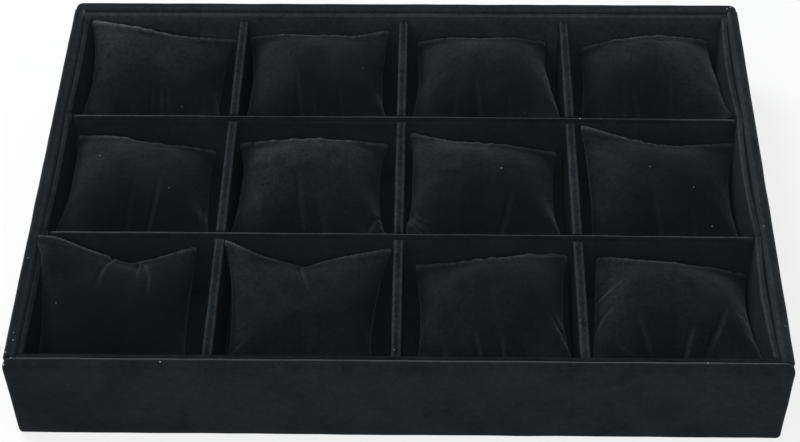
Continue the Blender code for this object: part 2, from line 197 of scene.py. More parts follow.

# How bright a board's top and its left, right, front and back face are: brushed nap together
# with painted light and shade. Then how much wear and painted sheen highlight its left, right,
# front and back top edge gets.
boardNapAndShade = {"base_board": ((1, 1, 1, 1, 1), (0, 0, 0, 0)),
            "floor_card": ((1, 1, 1, 1, 1), (0, 0, 0, 0)),
            "front_wall": ((0.75, 1, 1, 0.87, 1), (0.5, 0.5, 0.1, 2.6)),
            "back_wall": ((1.0, 1, 1, 1.1, 1), (0.5, 0.5, 0.35, 0.35)),
            "left_wall": ((0.75, 1, 0.6, 1, 1), (0.4, 0.35, 1, 1)),
            "right_wall": ((1.1, 1, 1, 1, 1), (0.45, 0.5, 1, 1)),
            "front_lining": ((0.5, 1, 1, 1, 1), (0, 0, 0.0, 0.0)),
            "back_lining": ((1.2, 1, 1, 1.45, 1), (0, 0, 0.5, 0.3)),
            "left_lining_row_1": ((0.9, 1, 0.3, 1, 1), (0.4, 0.25, 0, 0)),
            "left_lining_row_2": ((0.8, 1, 0.15, 1, 1), (0.35, 0.2, 0, 0)),
            "left_lining_row_3": ((0.55, 1, 0.1, 1, 1), (0.3, 0.1, 0, 0)),
            "right_lining": ((1.2, 0.45, 1, 1, 1), (1.1, 0.8, 0, 0)),
            "column_divider_1": ((0.5, 0.0, 0.0, 0.3, 1), (0.6, 0.6, 0.2, 0.5)),
            "column_divider": ((0.6, 0.0, 0.0, 0.3, 1), (0.65, 0.65, 0.4, 0.5)),
            "row_divider_1": ((0.45, 1, 1, 1.18, 1), (0.3, 0.3, 0.0, 1.9)),
            "row_divider_2": ((0.45, 1, 1, 1.02, 1), (0.3, 0.3, 0.0, 1.7))}

# How much darker a board gets towards its left end, brighter where it is below 0.
leftDark = {"front_wall": 0.28, "back_lining": -0.25}

slotOf = {part["node"]: part["material_slot"] for part in frame["record"]["subparts"]}


def deselectAll():
    if bpy.context.object and bpy.context.object.mode != "OBJECT":
        bpy.ops.object.mode_set(mode="OBJECT")
    bpy.ops.object.select_all(action="DESELECT")


def makeActive(piece):
    deselectAll()
    bpy.context.view_layer.objects.active = piece
    piece.select_set(True)


def copyOf(nodeName, newName):
    mesh = frame["nodes"][nodeName].data.copy()
    piece = bpy.data.objects.new(newName, mesh)
    scene.collection.objects.link(piece)
    mesh.name = newName
    mesh.materials.clear()
    makeActive(piece)
    bpy.ops.object.mode_set(mode="EDIT")
    bpy.ops.mesh.select_all(action="SELECT")
    bpy.ops.mesh.remove_doubles(threshold=0.01 * mm)
    bpy.ops.object.mode_set(mode="OBJECT")
    return piece


finished = {}  # the piece that stands for each node


def standsFor(piece, nodeName):
    finished[nodeName] = piece
    piece.data.materials.append(velvets[slotOf[nodeName]])
    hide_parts(nodeName)
    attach(piece, "root")


def smooth(share):
    share = min(max(share, 0.0), 1.0)
    return share * share * (3 - 2 * share)


def rise(value, start, run):  # 0 up to start, 1 from start + run on
    return smooth((value - start) / run)


# Thickness of the boards that bend, whose boxes are thicker than they are.
bentBoards = {"row_divider": 0.0046, "right_lining": 0.0028, "left_lining": 0.0028}


def acrossBoard(board, nodeName, thin):  # -1 to 1 across the thickness, for each vertex
    low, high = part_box(nodeName)
    bent = next((size for key, size in bentBoards.items() if nodeName.startswith(key)), None)
    vertices = board.data.vertices
    if bent is None:
        centre, half = (low[thin] + high[thin]) / 2, (high[thin] - low[thin]) / 2
        return [(vertex.co[thin] - centre) / half for vertex in vertices]
    bins = [round(vertex.co[1 - thin] / boardCloth["bin"]) for vertex in vertices]
    spans = {}
    for vertex, key in zip(vertices, bins):
        least, most = spans.get(key, (vertex.co[thin], vertex.co[thin]))
        spans[key] = (min(least, vertex.co[thin]), max(most, vertex.co[thin]))
    return [2 * (vertex.co[thin] - sum(spans[key]) / 2) / bent
            for vertex, key in zip(vertices, bins)]


def cutBoard(board, low, size, axes):
    bpy.ops.object.mode_set(mode="EDIT")
    bpy.ops.mesh.select_all(action="SELECT")
    bpy.ops.mesh.dissolve_limited(angle_limit=math.radians(boardCloth["flat"]))
    for axis in axes:
        normal = Vector((0, 0, 0))
        normal[axis] = 1
        steps = max(int(size[axis] / boardCloth["cut"]), boardCloth["fewest"])
        for step in range(1, steps):
            spot = low.copy()
            spot[axis] = low[axis] + size[axis] * step / steps
            bpy.ops.mesh.select_all(action="SELECT")
            bpy.ops.mesh.bisect(plane_co=spot, plane_no=normal)
    bpy.ops.object.mode_set(mode="OBJECT")
    bpy.ops.object.shade_smooth_by_angle(angle=math.radians(boardCloth["round"]))


def wrapBoard(nodeName):
    board = copyOf(nodeName, nodeName + "_wrap")
    low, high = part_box(nodeName)
    size = high - low
    axes = sorted(range(3), key=lambda axis: -size[axis])
    thin = axes[2]
    cutBoard(board, low, size, axes)
    sides, edges = next(value for key, value in boardNapAndShade.items() if nodeName.startswith(key))
    edgeWearAndSheen = board.data.attributes.new("edgeWearAndSheen", "FLOAT", "POINT")
    napAndShade = board.data.attributes.new("napAndShade", "FLOAT", "POINT")
    for vertex, across in zip(board.data.vertices, acrossBoard(board, nodeName, thin)):
        x, y, z = vertex.normal
        side = (0 if across < 0 else 1) + (2 if thin == 1 else 0)
        # wear together with a painted sheen highlight along the top edges
        nearTop = vertex.co.z > high.z - boardCloth["strip"]
        atTop = rise(z, *boardCloth["facing"]) if nearTop else 0
        wornAndLit = atTop * edges[side] * rise(abs(across), *boardCloth["wornAndLit"])
        # face brightness by which way a face points: brushed nap together with painted light and
        # shade
        facesNapAndShade = sides[1 if x < 0 else 2] * x * x + sides[3 if y < 0 else 4] * y * y
        darker = 1 - leftDark.get(nodeName, 0) * rise(-vertex.co.x, *boardCloth["dusk"])
        brushedAndLit = (facesNapAndShade + sides[0] * z * z) * darker
        edgeWearAndSheen.data[vertex.index].value = wornAndLit
        napAndShade.data[vertex.index].value = brushedAndLit + max(1 - brushedAndLit, 0) * min(wornAndLit, 1)
    for vertex in board.data.vertices:
        spot = vertex.co / boardCloth["wave"]
        vertex.co += vertex.normal * noise.noise(spot) * boardCloth["wander"]
    standsFor(board, nodeName)


for nodeName in sorted(frame["nodes"]):
    if not nodeName.startswith("pillow"):
        wrapBoard(nodeName)
print("boards wrapped")


# pressure: how hard the stuffing pushes, frames: how long it does, quality: steps for each
# frame, mass, stretch, shear and bend: the cloth's weight and stiffness, grow: how much less
# cloth there is than the shape needs, below 0 for more. share and ease: how much of the
# cloth's step is kept and how often it is evened out, cap: the longest step. clear: the gap
# to the boards, foot: the height of the floor card, fill: how much of the pillow is stuffing.
pillowCloth = {"pressure": 4.0, "frames": 20, "quality": 5, "mass": 0.15, "stretch": 15,
               "shear": 5, "bend": 1.0, "grow": -0.015, "share": 0.5, "ease": 2, "cap": 0.0025,
               "clear": 0.0003, "foot": 0.0053, "fill": 0.7}

# Places on a pillow run from -1 to 1, across from left to right and along from front
# to back. tone: how bright the whole pillow is, side: which side of it faces the light and gets
# a painted highlight, -1 for the left where it isn't given, rim and sharp: how bright and how
# narrow that painted highlight on the side's rim is. A brushedAndLit patch is a place, its reach
# and how much brighter it is, from brushed nap together with painted light and shade. A pull is
# a place, its reach both ways and a shift in mm. A fold is its points, its width and depth in mm
# and how much painted highlight its ridge gets. A pucker is a place on the back seam and its
# height in mm.
pillowFolds = {
    (1, 1): {"tone": 0.92,
             "brushedAndLit": [(-0.9, 0.2, 0.35, 0.5), (-0.75, 0.7, 0.4, 0.35),
                        (-0.9, -0.6, 0.25, 0.5), (0.85, 0, 0.4, -0.35), (0.3, -0.6, 0.6, -0.15)],
             "pulls": [(1, 1, 0.18, 0.2, (2, 0, 0))],
             "folds": [([(-0.36, -0.40), (-0.30, -0.75)], 1.6, 0.8, 0.2),
                       ([(-0.09, -0.10), (-0.09, -0.60)], 1.4, 0.8, 0.2),
                       ([(0.01, -0.15), (0.02, -0.60)], 1.3, 0.7, 0.3),
                       ([(0.08, -0.10), (0.14, -0.60)], 1.5, 0.9, 0.2),
                       ([(0.54, -0.20), (0.60, -0.70)], 1.8, 0.8, 0.2)],
             "puckers": [(-0.35, 0.7), (-0.2, 0.8), (-0.05, 0.6)]},
    (1, 2): {"tone": 0.75,
             "brushedAndLit": [(-0.85, -0.3, 0.3, 0.45), (-0.8, -0.8, 0.2, 0.3), (0, 0.75, 0.5, 0.15),
                        (0.5, -0.5, 0.5, -0.15), (0.95, 0, 0.3, -0.3)],
             "folds": [([(-0.34, 0.05), (-0.25, -0.75)], 1.7, 1.2, 0.3),
                       ([(-0.12, -0.20), (-0.09, -0.75)], 1.4, 0.8, 0.2),
                       ([(0.22, -0.25), (0.30, -0.75)], 1.6, 0.9, 0.2)],
             "puckers": [(0.0, 0.7), (0.15, 0.8), (0.25, 0.5)]},
    (1, 3): {"tone": 0.81,
             "brushedAndLit": [(-0.85, 0, 0.28, 0.5), (-0.9, -0.6, 0.22, 0.5), (-0.3, 0.6, 0.5, 0.15),
                        (0.2, -0.5, 0.6, -0.2), (0.75, 0.4, 0.3, 0.15)],
             "pulls": [(1, 1, 0.12, 0.15, (6, 0, -1))],
             "folds": [([(-0.14, 0.00), (-0.07, -0.75)], 1.8, 1.4, 0.3),
                       ([(0.28, -0.25), (0.32, -0.70)], 1.5, 0.9, 0.2),
                       ([(-0.36, -0.20), (-0.44, -0.75)], 1.6, 0.8, 0.2)],
             "puckers": [(0.2, 0.5), (0.75, 0.6)]},
    (1, 4): {"tone": 0.98, "side": 1,
             "brushedAndLit": [(0.6, 0.3, 0.4, 0.35), (0.8, -0.3, 0.3, 0.35), (-0.85, 0, 0.3, -0.25),
                        (-0.3, -0.5, 0.5, -0.1), (0.9, -0.85, 0.2, 0.5)],
             "pulls": [(1, -0.9, 0.22, 0.15, (0, 0, 2))],
             "folds": [([(-0.38, 0.00), (-0.33, -0.70)], 1.8, 1.0, 0.2),
                       ([(-0.26, -0.15), (-0.16, -0.70)], 1.5, 1.0, 0.3),
                       ([(0.24, 0.05), (0.22, -0.75)], 1.7, 1.0, 0.2)],
             "puckers": [(-0.35, 0.7), (0.2, 0.7)]},
    (2, 1): {"tone": 0.83,
             "brushedAndLit": [(-0.55, 0.7, 0.45, 0.35), (-0.85, 0, 0.3, 0.45), (-0.9, -0.6, 0.2, 0.4),
                        (0.1, -0.6, 0.6, -0.35), (0.8, -0.3, 0.4, -0.25)],
             "pulls": [(1, 1, 0.18, 0.2, (5, 0, -1)), (0, 1, 0.6, 0.3, (0, 0, -1.5))],
             "folds": [([(-0.10, 0.05), (-0.19, -0.80)], 1.8, 1.1, 0.2),
                       ([(0.20, 0.20), (0.16, -0.26), (0.05, -0.80)], 1.6, 1.5, 0.6),
                       ([(0.72, 0.10), (0.74, -0.60)], 1.8, 0.9, 0.2)],
             "puckers": [(-0.3, 0.4), (0.1, 0.5)]},
    (2, 2): {"tone": 1.02,
             "brushedAndLit": [(-0.6, 0.6, 0.5, 0.45), (-0.85, -0.1, 0.3, 0.4), (0.3, 0.3, 0.5, 0.2),
                        (0.9, -0.85, 0.15, 0.6), (0.98, 0.2, 0.25, -0.3)],
             "pulls": [(0, 1, 0.5, 0.25, (0, 0, -2.5)), (1, 1, 0.18, 0.2, (4, 0, 0)),
                        (-1, 1, 0.18, 0.2, (-2.5, 0, 0))],
             "folds": [([(-0.22, 0.20), (-0.12, -0.80)], 1.8, 1.5, 0.3),
                       ([(-0.80, 0.05), (-0.66, -0.60)], 1.7, 0.9, 0.3),
                       ([(0.00, -0.15), (0.16, -0.75)], 1.6, 0.9, 0.2),
                       ([(0.92, -0.15), (0.78, -0.40), (0.64, -0.70)], 1.4, 1.2, 0.7)],
             "puckers": [(-0.3, 0.8), (-0.1, 0.6), (0.05, 0.8)]},
    (2, 3): {"tone": 0.89,
             "brushedAndLit": [(-0.5, 0.7, 0.45, 0.3), (-0.85, -0.15, 0.2, 0.4),
                        (-0.95, -0.8, 0.2, 0.7), (0.3, -0.3, 0.6, -0.15), (0.85, 0.1, 0.3, -0.2)],
             "pulls": [(-0.4, 1, 0.8, 0.3, (0, 0, -3)),
                        (-1, -0.85, 0.22, 0.15, (0, 0, 3))],
             "folds": [([(0.32, 0.00), (0.23, -0.37), (0.13, -0.75)], 1.8, 1.1, 0.3),
                       ([(-0.97, -0.50), (-0.84, -0.66), (-0.62, -0.72)], 1.3, 1.3, 0.8),
                       ([(-0.97, -0.68), (-0.84, -0.82), (-0.66, -0.86)], 1.3, 1.2, 0.7)],
             "puckers": [(-0.25, 0.6), (-0.1, 0.8), (0.1, 0.9), (0.25, 0.8)]},
    (2, 4): {"tone": 0.82,
             "brushedAndLit": [(-0.95, 0.95, 0.25, -0.6), (0, 0.8, 0.7, -0.6), (0, -0.6, 0.7, 0.1),
                        (-0.9, -0.55, 0.18, 0.5), (-0.6, 0.5, 0.4, 0.15),
                        (0.9, 0, 0.4, -0.3), (0.3, -0.7, 0.5, -0.1)],
             "pulls": [(0, 1, 0.6, 0.3, (0, 0, -2.5))],
             "folds": [([(-0.15, -0.10), (-0.07, -0.42), (0.00, -0.80)], 1.7, 1.0, 0.3),
                       ([(-0.77, -0.20), (-0.73, -0.65)], 1.6, 0.7, 0.2),
                       ([(0.33, -0.25), (0.36, -0.75)], 1.7, 0.8, 0.2)],
             "puckers": [(-0.2, 0.9), (-0.05, 0.8), (0.1, 0.6)]},
    (3, 1): {"tone": 0.37, "rim": 4.5, "sharp": 3,
             "brushedAndLit": [(-0.97, 0.75, 0.2, 0.6), (-0.97, -0.3, 0.15, 0.5),
                        (-0.97, -0.75, 0.15, 0.5), (-0.8, 0.85, 0.3, 0.3),
                        (0.7, 0.85, 0.3, 0.25), (0, -0.2, 0.8, -0.2)],
             "pulls": [(-0.1, 1, 0.4, 0.3, (0, 0, -4)), (-0.8, 0.95, 0.18, 0.2, (0, 0, 2.5)),
                        (-1, 1, 0.3, 0.25, (-3, -4, 2.5)), (-1, 0.35, 0.3, 0.45, (-2, 0, 15)),
                        (-1, 0.75, 0.3, 0.3, (-1, 0, 4)),
                        (-1, -0.4, 0.2, 0.5, (-1.5, 0, 0)), (0.75, 1, 0.2, 0.2, (0, 0, 1)),
                        (1, 1, 0.13, 0.2, (0, 0, -3.5))],
             "folds": [([(-0.24, 0.95), (-0.33, 0.40), (-0.37, 0.05)], 1.5, 1.7, 1.0),
                       ([(0.06, 0.95), (0.09, 0.45)], 1.3, 1.5, 0.9),
                       ([(0.14, 0.70), (0.23, 0.40), (0.25, 0.02)], 1.3, 1.4, 1.0),
                       ([(-0.95, 0.82), (-0.73, 0.80), (-0.55, 0.72)], 1.2, 0.8, 0.6),
                       ([(0.38, 0.84), (0.60, 0.72)], 1.2, 0.8, 0.5)],
             "puckers": [(-0.3, 0.7), (0.05, 0.9), (0.15, 0.6)]},
    (3, 2): {"tone": 0.85,
             "brushedAndLit": [(0, 0.8, 0.7, -0.5), (0, -0.6, 0.7, 0.2), (-0.9, 0.6, 0.3, 0.3),
                        (-0.95, -0.2, 0.12, 0.5), (-0.93, -0.85, 0.12, 0.5),
                        (0.92, 0, 0.3, -0.3)],
             "pulls": [(-0.12, 1, 0.12, 0.2, (0, 0, -3)), (0.2, 1, 0.2, 0.2, (0, 0, 1))],
             "folds": [([(-0.16, 0.90), (-0.08, 0.53), (-0.02, 0.30)], 1.4, 1.3, 0.7),
                       ([(-0.70, -0.40), (-0.82, -0.52), (-0.94, -0.62)], 1.3, 1.0, 0.8),
                       ([(-0.88, 0.30), (-0.80, -0.30)], 1.5, 0.5, 0.4)],
             "puckers": [(-0.16, 0.8)]},
    (3, 3): {"tone": 0.86,
             "brushedAndLit": [(0, 0.8, 0.8, -0.8), (0, -0.6, 0.7, 0.17), (-0.93, -0.4, 0.15, 0.5),
                        (0.85, -0.3, 0.2, 0.4), (0.4, 0.9, 0.3, 0.2)],
             "folds": [([(-0.21, -0.28), (-0.16, -0.49), (-0.08, -0.80)], 1.5, 1.5, 0.8),
                       ([(0.12, -0.35), (0.15, -0.80)], 1.3, 1.1, 0.7),
                       ([(-0.55, -0.48), (-0.50, -0.80)], 1.4, 0.9, 0.6),
                       ([(0.66, 0.05), (0.84, -0.27), (0.94, -0.60)], 1.6, 1.2, 0.8)],
             "puckers": [(-0.3, 0.6), (-0.15, 0.8), (0.05, 0.5), (0.5, 0.6), (0.75, 0.6)]},
    (3, 4): {"tone": 0.92,
             "brushedAndLit": [(0, 0.8, 0.7, -0.3), (0, -0.6, 0.7, 0.1), (-0.93, -0.5, 0.15, 0.5),
                        (-0.8, 0.2, 0.3, 0.25), (0.4, 0.4, 0.5, 0.1), (0.95, 0.1, 0.25, -0.2)],
             "pulls": [(-1, 1, 0.2, 0.2, (1.5, 0, -2.5))],
             "folds": [([(0.20, -0.15), (0.14, -0.40), (0.04, -0.75)], 1.6, 1.3, 0.7),
                       ([(0.66, 0.26), (0.52, -0.14), (0.33, -0.60)], 1.7, 1.4, 0.7),
                       ([(-0.48, -0.05), (-0.39, -0.46), (-0.26, -0.80)], 1.7, 1.1, 0.5),
                       ([(-0.52, 0.50), (-0.73, 0.33), (-0.93, 0.20)], 1.2, 1.1, 0.8),
                       ([(-0.66, 0.10), (-0.86, -0.15), (-0.95, -0.45)], 1.3, 1.2, 0.9),
                       ([(-0.76, -0.60), (-0.61, -0.68), (-0.46, -0.76)], 1.2, 1.0, 0.8)],
             "puckers": [(0.1, 0.4)]},
}

# left and right: the lining cards' faces, leftBow and rightBow: how far the cards bow inwards,
# gap: between a pillow and the boards in front of and behind it, cardTop and overCard: the
# height from which a pillow may lie over its left card, and how far out it may then reach.
cell = {"left": -0.1664, "right": 0.1664, "leftBow": 0.0007, "rightBow": 0.0016,
        "gap": 0.0004, "cardTop": 0.0495, "overCard": -0.1690}


def cellOf(row, column):
    low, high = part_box(f"pillow_row_{row}_column_{column}")  # since the row dividers bend
    left = cell["left"] if column == 1 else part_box(f"column_divider_{column - 1}")[1].x
    right = cell["right"] if column == 4 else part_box(f"column_divider_{column}")[0].x
    return left, right, low.y - cell["gap"], high.y + cell["gap"]


def evenOut(mesh, steps):  # each step becomes the mean of itself and its neighbours
    totals = [step.copy() for step in steps]
    counts = [1] * len(steps)
    for edge in mesh.edges:
        first, second = edge.vertices
        totals[first] += steps[second]
        totals[second] += steps[first]
        counts[first] += 1
        counts[second] += 1
    return [total / count for total, count in zip(totals, counts)]


def simulateCloth(piece):
    cloth = piece.modifiers.new("cloth", "CLOTH")
    settings = cloth.settings
    settings.quality = pillowCloth["quality"]
    settings.mass = pillowCloth["mass"]
    settings.tension_stiffness = settings.compression_stiffness = pillowCloth["stretch"]
    settings.shear_stiffness = pillowCloth["shear"]
    settings.bending_stiffness = pillowCloth["bend"]
    settings.shrink_min = pillowCloth["grow"]
    settings.use_pressure = True
    settings.uniform_pressure_force = pillowCloth["pressure"]
    settings.effector_weights.gravity = 0
    settings.vertex_group_mass = "seam"
    cloth.point_cache.frame_end = pillowCloth["frames"]
    before = [vertex.co.copy() for vertex in piece.data.vertices]
    for step in range(1, pillowCloth["frames"] + 1):
        scene.frame_set(step)
    bpy.ops.object.modifier_apply(modifier=cloth.name)
    scene.frame_set(1)
    steps = [vertex.co - old for vertex, old in zip(piece.data.vertices, before)]
    for turn in range(pillowCloth["ease"]):
        steps = evenOut(piece.data, steps)
    for vertex, old, step in zip(piece.data.vertices, before, steps):
        step *= pillowCloth["share"]
        if step.length > pillowCloth["cap"]:
            step *= pillowCloth["cap"] / step.length
        vertex.co = old + step


def keepInCell(piece, row, column):
    left, right, front, back = cellOf(row, column)
    clear = pillowCloth["clear"]
    for vertex in piece.data.vertices:
        spot = vertex.co
        along = (2 * spot.y - front - back) / (back - front)
        arch = max(0.0, 1 - along * along)
        lowX = left + clear + (cell["leftBow"] * arch if column == 1 else 0)
        if column == 1 and spot.z > cell["cardTop"]:
            lowX = cell["overCard"]
        highX = right - clear - (cell["rightBow"] * arch if column == 4 else 0)
        spot.x = min(max(spot.x, lowX), highX)
        spot.y = min(max(spot.y, front + clear), back - clear)
        spot.z = max(spot.z, pillowCloth["foot"])


def nearestOnFold(points, x, y):  # distance, below 0 on its right, and 0 to 1 along it
    best = (1e9, 0.0)
    total = sum((points[k + 1] - points[k]).length for k in range(len(points) - 1))
    run = 0.0
    spot = Vector((x, y))
    for first, second in zip(points, points[1:]):
        step = second - first
        share = min(max((spot - first).dot(step) / step.length_squared, 0.0), 1.0)
        distance = (spot - first - step * share).length
        if distance < abs(best[0]):
            side = 1 if step.cross(spot - first) > 0 else -1
            best = (side * distance, (run + step.length * share) / total)
        run += step.length
    return best


# How a fold is drawn. narrow and shallow: shares of the widths and depths above, reach: in
# widths, tuck: folds with this much painted highlight start in the seam, lip, lipHeight and
# lipHighlight: how far out the ridge beside a groove stands, how high, and how much painted
# highlight it gets. fadeTuck, fadeIn and fadeOut: where on its length a fold fades and how far
# it takes, left: how much of it is still there at its end. upper: how far a face has to turn up
# to be folded.
foldShape = {"narrow": 0.65, "shallow": 0.55, "reach": 5, "tuck": 0.95, "lip": 1.5,
             "lipHeight": 0.6, "lipHighlight": 0.35, "fadeTuck": (0.55, 0.45), "fadeIn": (0, 0.4),
             "fadeOut": (0.7, 0.3), "left": 0.3, "upper": (-0.1, 0.4)}

# frill: size, seed and share of the back seam's waves, stands: how high it stands and how
# much the frill changes that, pucker: half its width, waver: how far and over what length
# the whole cloth wavers, ear: how far the back corners lean outwards, earAcross and
# earAlong: where a corner starts and how far it takes. wearAndHighlight and
# frillWearAndHighlight: how much wear and painted sheen highlight the back seam gets and how
# much the frill changes that, frontWearAndHighlight: how much of it the front seam gets.
seamShape = {"frill": ((0.0032, 0, 0.6), (0.0013, 9, 0.4)), "stands": 0.0012,
             "frillStands": 0.0007, "pucker": 0.0022, "waver": 0.00025, "waverSize": 0.009,
             "ear": 0.0018, "earAcross": (0.7, 0.3), "earAlong": (0.6, 0.4),
             "wearAndHighlight": 1.3, "frillWearAndHighlight": 1.8, "frontWearAndHighlight": 0.25}

# front and more: how bright the pillow is at the front end and how much more, as painted light,
# at the back, rise: where it starts to change and how far it takes. rim: how bright the painted
# highlight on the rim of the lit side is, far: how much painted shade darkens the other side.
# strong and patchWearAndHighlight: patches brighter than this also get wear and painted
# highlight, and how much. least: the darkest that the nap and painted shade get.
napAndLightShape = {"front": 0.55, "more": 0.95, "rise": (-0.35, 1.25), "rim": 0.65, "far": 0.3,
            "strong": 0.7, "patchWearAndHighlight": 0.5, "least": 0.2}


def foldsAt(folds, spot):  # how far the folds lift a place and how much painted highlight their ridges give it
    lift, wearAndHighlight = 0.0, 0.0
    for points, width, depth, share in folds:
        distance, travel = nearestOnFold(points, spot.x, spot.y)
        if abs(distance) > foldShape["reach"] * width:
            continue
        if share >= foldShape["tuck"]:
            fade = 1 - rise(travel, *foldShape["fadeTuck"])
        else:
            fade = rise(travel, *foldShape["fadeIn"])
            fade *= 1 - (1 - foldShape["left"]) * rise(travel, *foldShape["fadeOut"])
        groove = math.exp(-(distance / width) ** 2)
        lips = math.exp(-((distance - foldShape["lip"] * width) / width) ** 2)
        lift += depth * fade * (foldShape["lipHeight"] * lips - groove)
        wearAndHighlight += share * fade * lips * foldShape["lipHighlight"]
    return lift, wearAndHighlight


def brushedAndLitAt(spec, normal, across, along):  # how bright a place is from nap and painted light and shade, and its wear and painted highlight
    lean = normal.x * spec.get("side", -1)
    brushedAndLit = napAndLightShape["front"] + napAndLightShape["more"] * rise(along, *napAndLightShape["rise"])
    if lean > 0:
        brushedAndLit += spec.get("rim", napAndLightShape["rim"]) * lean ** spec.get("sharp", 1)
    else:
        brushedAndLit += napAndLightShape["far"] * lean
    wornAndLit = 0.0
    for u, v, reach, amount in spec["brushedAndLit"]:
        near = math.exp(-((across - u) ** 2 + (along - v) ** 2) / reach ** 2)
        brushedAndLit += amount * near
        wornAndLit += max(0.0, amount - napAndLightShape["strong"]) * napAndLightShape["patchWearAndHighlight"] * near
    return max(brushedAndLit, napAndLightShape["least"]) * spec["tone"], wornAndLit


def foldPillow(piece, row, column):
    left, right, front, back = cellOf(row, column)
    centre = Vector(((left + right) / 2, (front + back) / 2))
    half = Vector(((right - left) / 2, (back - front) / 2))
    spec = pillowFolds[row, column]
    folds = []
    for points, width, depth, wearAndHighlight in spec["folds"]:
        placed = [centre + Vector((u * half.x, v * half.y)) for u, v in points]
        folds.append((placed, width * foldShape["narrow"] * mm,
                      depth * foldShape["shallow"] * mm, wearAndHighlight))
    edgeWearAndSheen = piece.data.attributes.new("edgeWearAndSheen", "FLOAT", "POINT")
    napAndShade = piece.data.attributes.new("napAndShade", "FLOAT", "POINT")
    seam = piece.vertex_groups["seam"].index
    shifts = []
    for vertex in piece.data.vertices:
        spot, normal = vertex.co, vertex.normal
        across = (spot.x - centre.x) / half.x
        along = (spot.y - centre.y) / half.y
        atBack = smooth(along * 3 - 1)  # 0 up to a third behind the middle, 1 from two thirds
        held = sum(group.weight for group in vertex.groups if group.group == seam)
        top = rise(normal.z, *foldShape["upper"])
        lift, wearAndHighlight = foldsAt(folds, spot) if top > 0 else (0.0, 0.0)
        lift, wearAndHighlight = lift * top, wearAndHighlight * top
        frill = sum(noise.noise(Vector((spot.x / size, row, column + seed))) * share
                    for size, seed, share in seamShape["frill"])
        for place, height in spec["puckers"]:
            away = (across - place) * half.x / seamShape["pucker"]
            lift += height * mm * math.exp(-away ** 2) * held * atBack
        stands = seamShape["stands"] + seamShape["frillStands"] * frill
        stands *= held * held * atBack
        lift += seamShape["waver"] * noise.noise(spot / seamShape["waverSize"])
        # the seams' rough line: wear together with a painted sheen highlight
        seamWearAndHighlight = seamShape["wearAndHighlight"] + seamShape["frillWearAndHighlight"] * frill
        wearAndHighlight += held ** 7 * seamWearAndHighlight * (seamShape["frontWearAndHighlight"] + atBack)
        # nap with painted light: brighter at the back and on the lit side's rim, painted shade on
        # the other side
        brushedAndLit, wornAndLit = brushedAndLitAt(spec, normal, across, along)
        wearAndHighlight = min(max(wearAndHighlight + wornAndLit, 0.0), 1.0)
        napAndShade.data[vertex.index].value = brushedAndLit + max(1 - brushedAndLit, 0) * wearAndHighlight
        edgeWearAndSheen.data[vertex.index].value = wearAndHighlight
        corner = rise(abs(across), *seamShape["earAcross"]) * rise(along, *seamShape["earAlong"])
        outwards = math.copysign(seamShape["ear"], across) * corner
        shifts.append(normal * lift + Vector((outwards, 0, stands)))
    for vertex, shift in zip(piece.data.vertices, shifts):
        across = (vertex.co.x - centre.x) / half.x
        along = (vertex.co.y - centre.y) / half.y
        for u, v, reachU, reachV, step in spec.get("pulls", ()):
            away = ((across - u) / reachU) ** 2 + ((along - v) / reachV) ** 2
            vertex.co += Vector(step) * mm * math.exp(-away)
        vertex.co += shift


def creaseSeams(piece):  # the sewn front and back edges stay sharp, the sides don't
    makeActive(piece)
    bpy.ops.object.mode_set(mode="EDIT")
    shape = bmesh.from_edit_mesh(piece.data)
    crease = shape.edges.layers.float.new("crease_edge")
    ends = set()
    for edge in shape.edges:
        first, second = edge.link_faces
        if first.normal.z * second.normal.z < 0:
            run = edge.verts[1].co - edge.verts[0].co
            if abs(run.x) > abs(run.y):
                edge[crease] = 1.0
                ends.update(vertex.index for vertex in edge.verts)
    bmesh.update_edit_mesh(piece.data)
    bpy.ops.object.mode_set(mode="OBJECT")
    piece.vertex_groups.new(name="seam").add(list(ends), 1.0, "REPLACE")


def subdivide(piece, levels):
    finer = piece.modifiers.new("finer", "SUBSURF")
    finer.levels = finer.render_levels = levels
    bpy.ops.object.modifier_apply(modifier=finer.name)


def makePillow(row, column):
    nodeName = f"pillow_row_{row}_column_{column}"
    pillow = copyOf(nodeName, nodeName + "_stuffed")
    bpy.ops.object.mode_set(mode="EDIT")
    bpy.ops.mesh.select_all(action="SELECT")
    square = math.radians(60)  # how skewed two triangles may be to become one square
    bpy.ops.mesh.tris_convert_to_quads(face_threshold=square, shape_threshold=square)
    bpy.ops.object.mode_set(mode="OBJECT")
    creaseSeams(pillow)
    subdivide(pillow, 1)
    simulateCloth(pillow)
    keepInCell(pillow, row, column)
    subdivide(pillow, 2)
    foldPillow(pillow, row, column)
    keepInCell(pillow, row, column)
    bpy.ops.object.shade_smooth()
    standsFor(pillow, nodeName)


for row in (1, 2, 3):
    for column in (1, 2, 3, 4):
        makePillow(row, column)
    print("pillows of row", row, "stuffed")


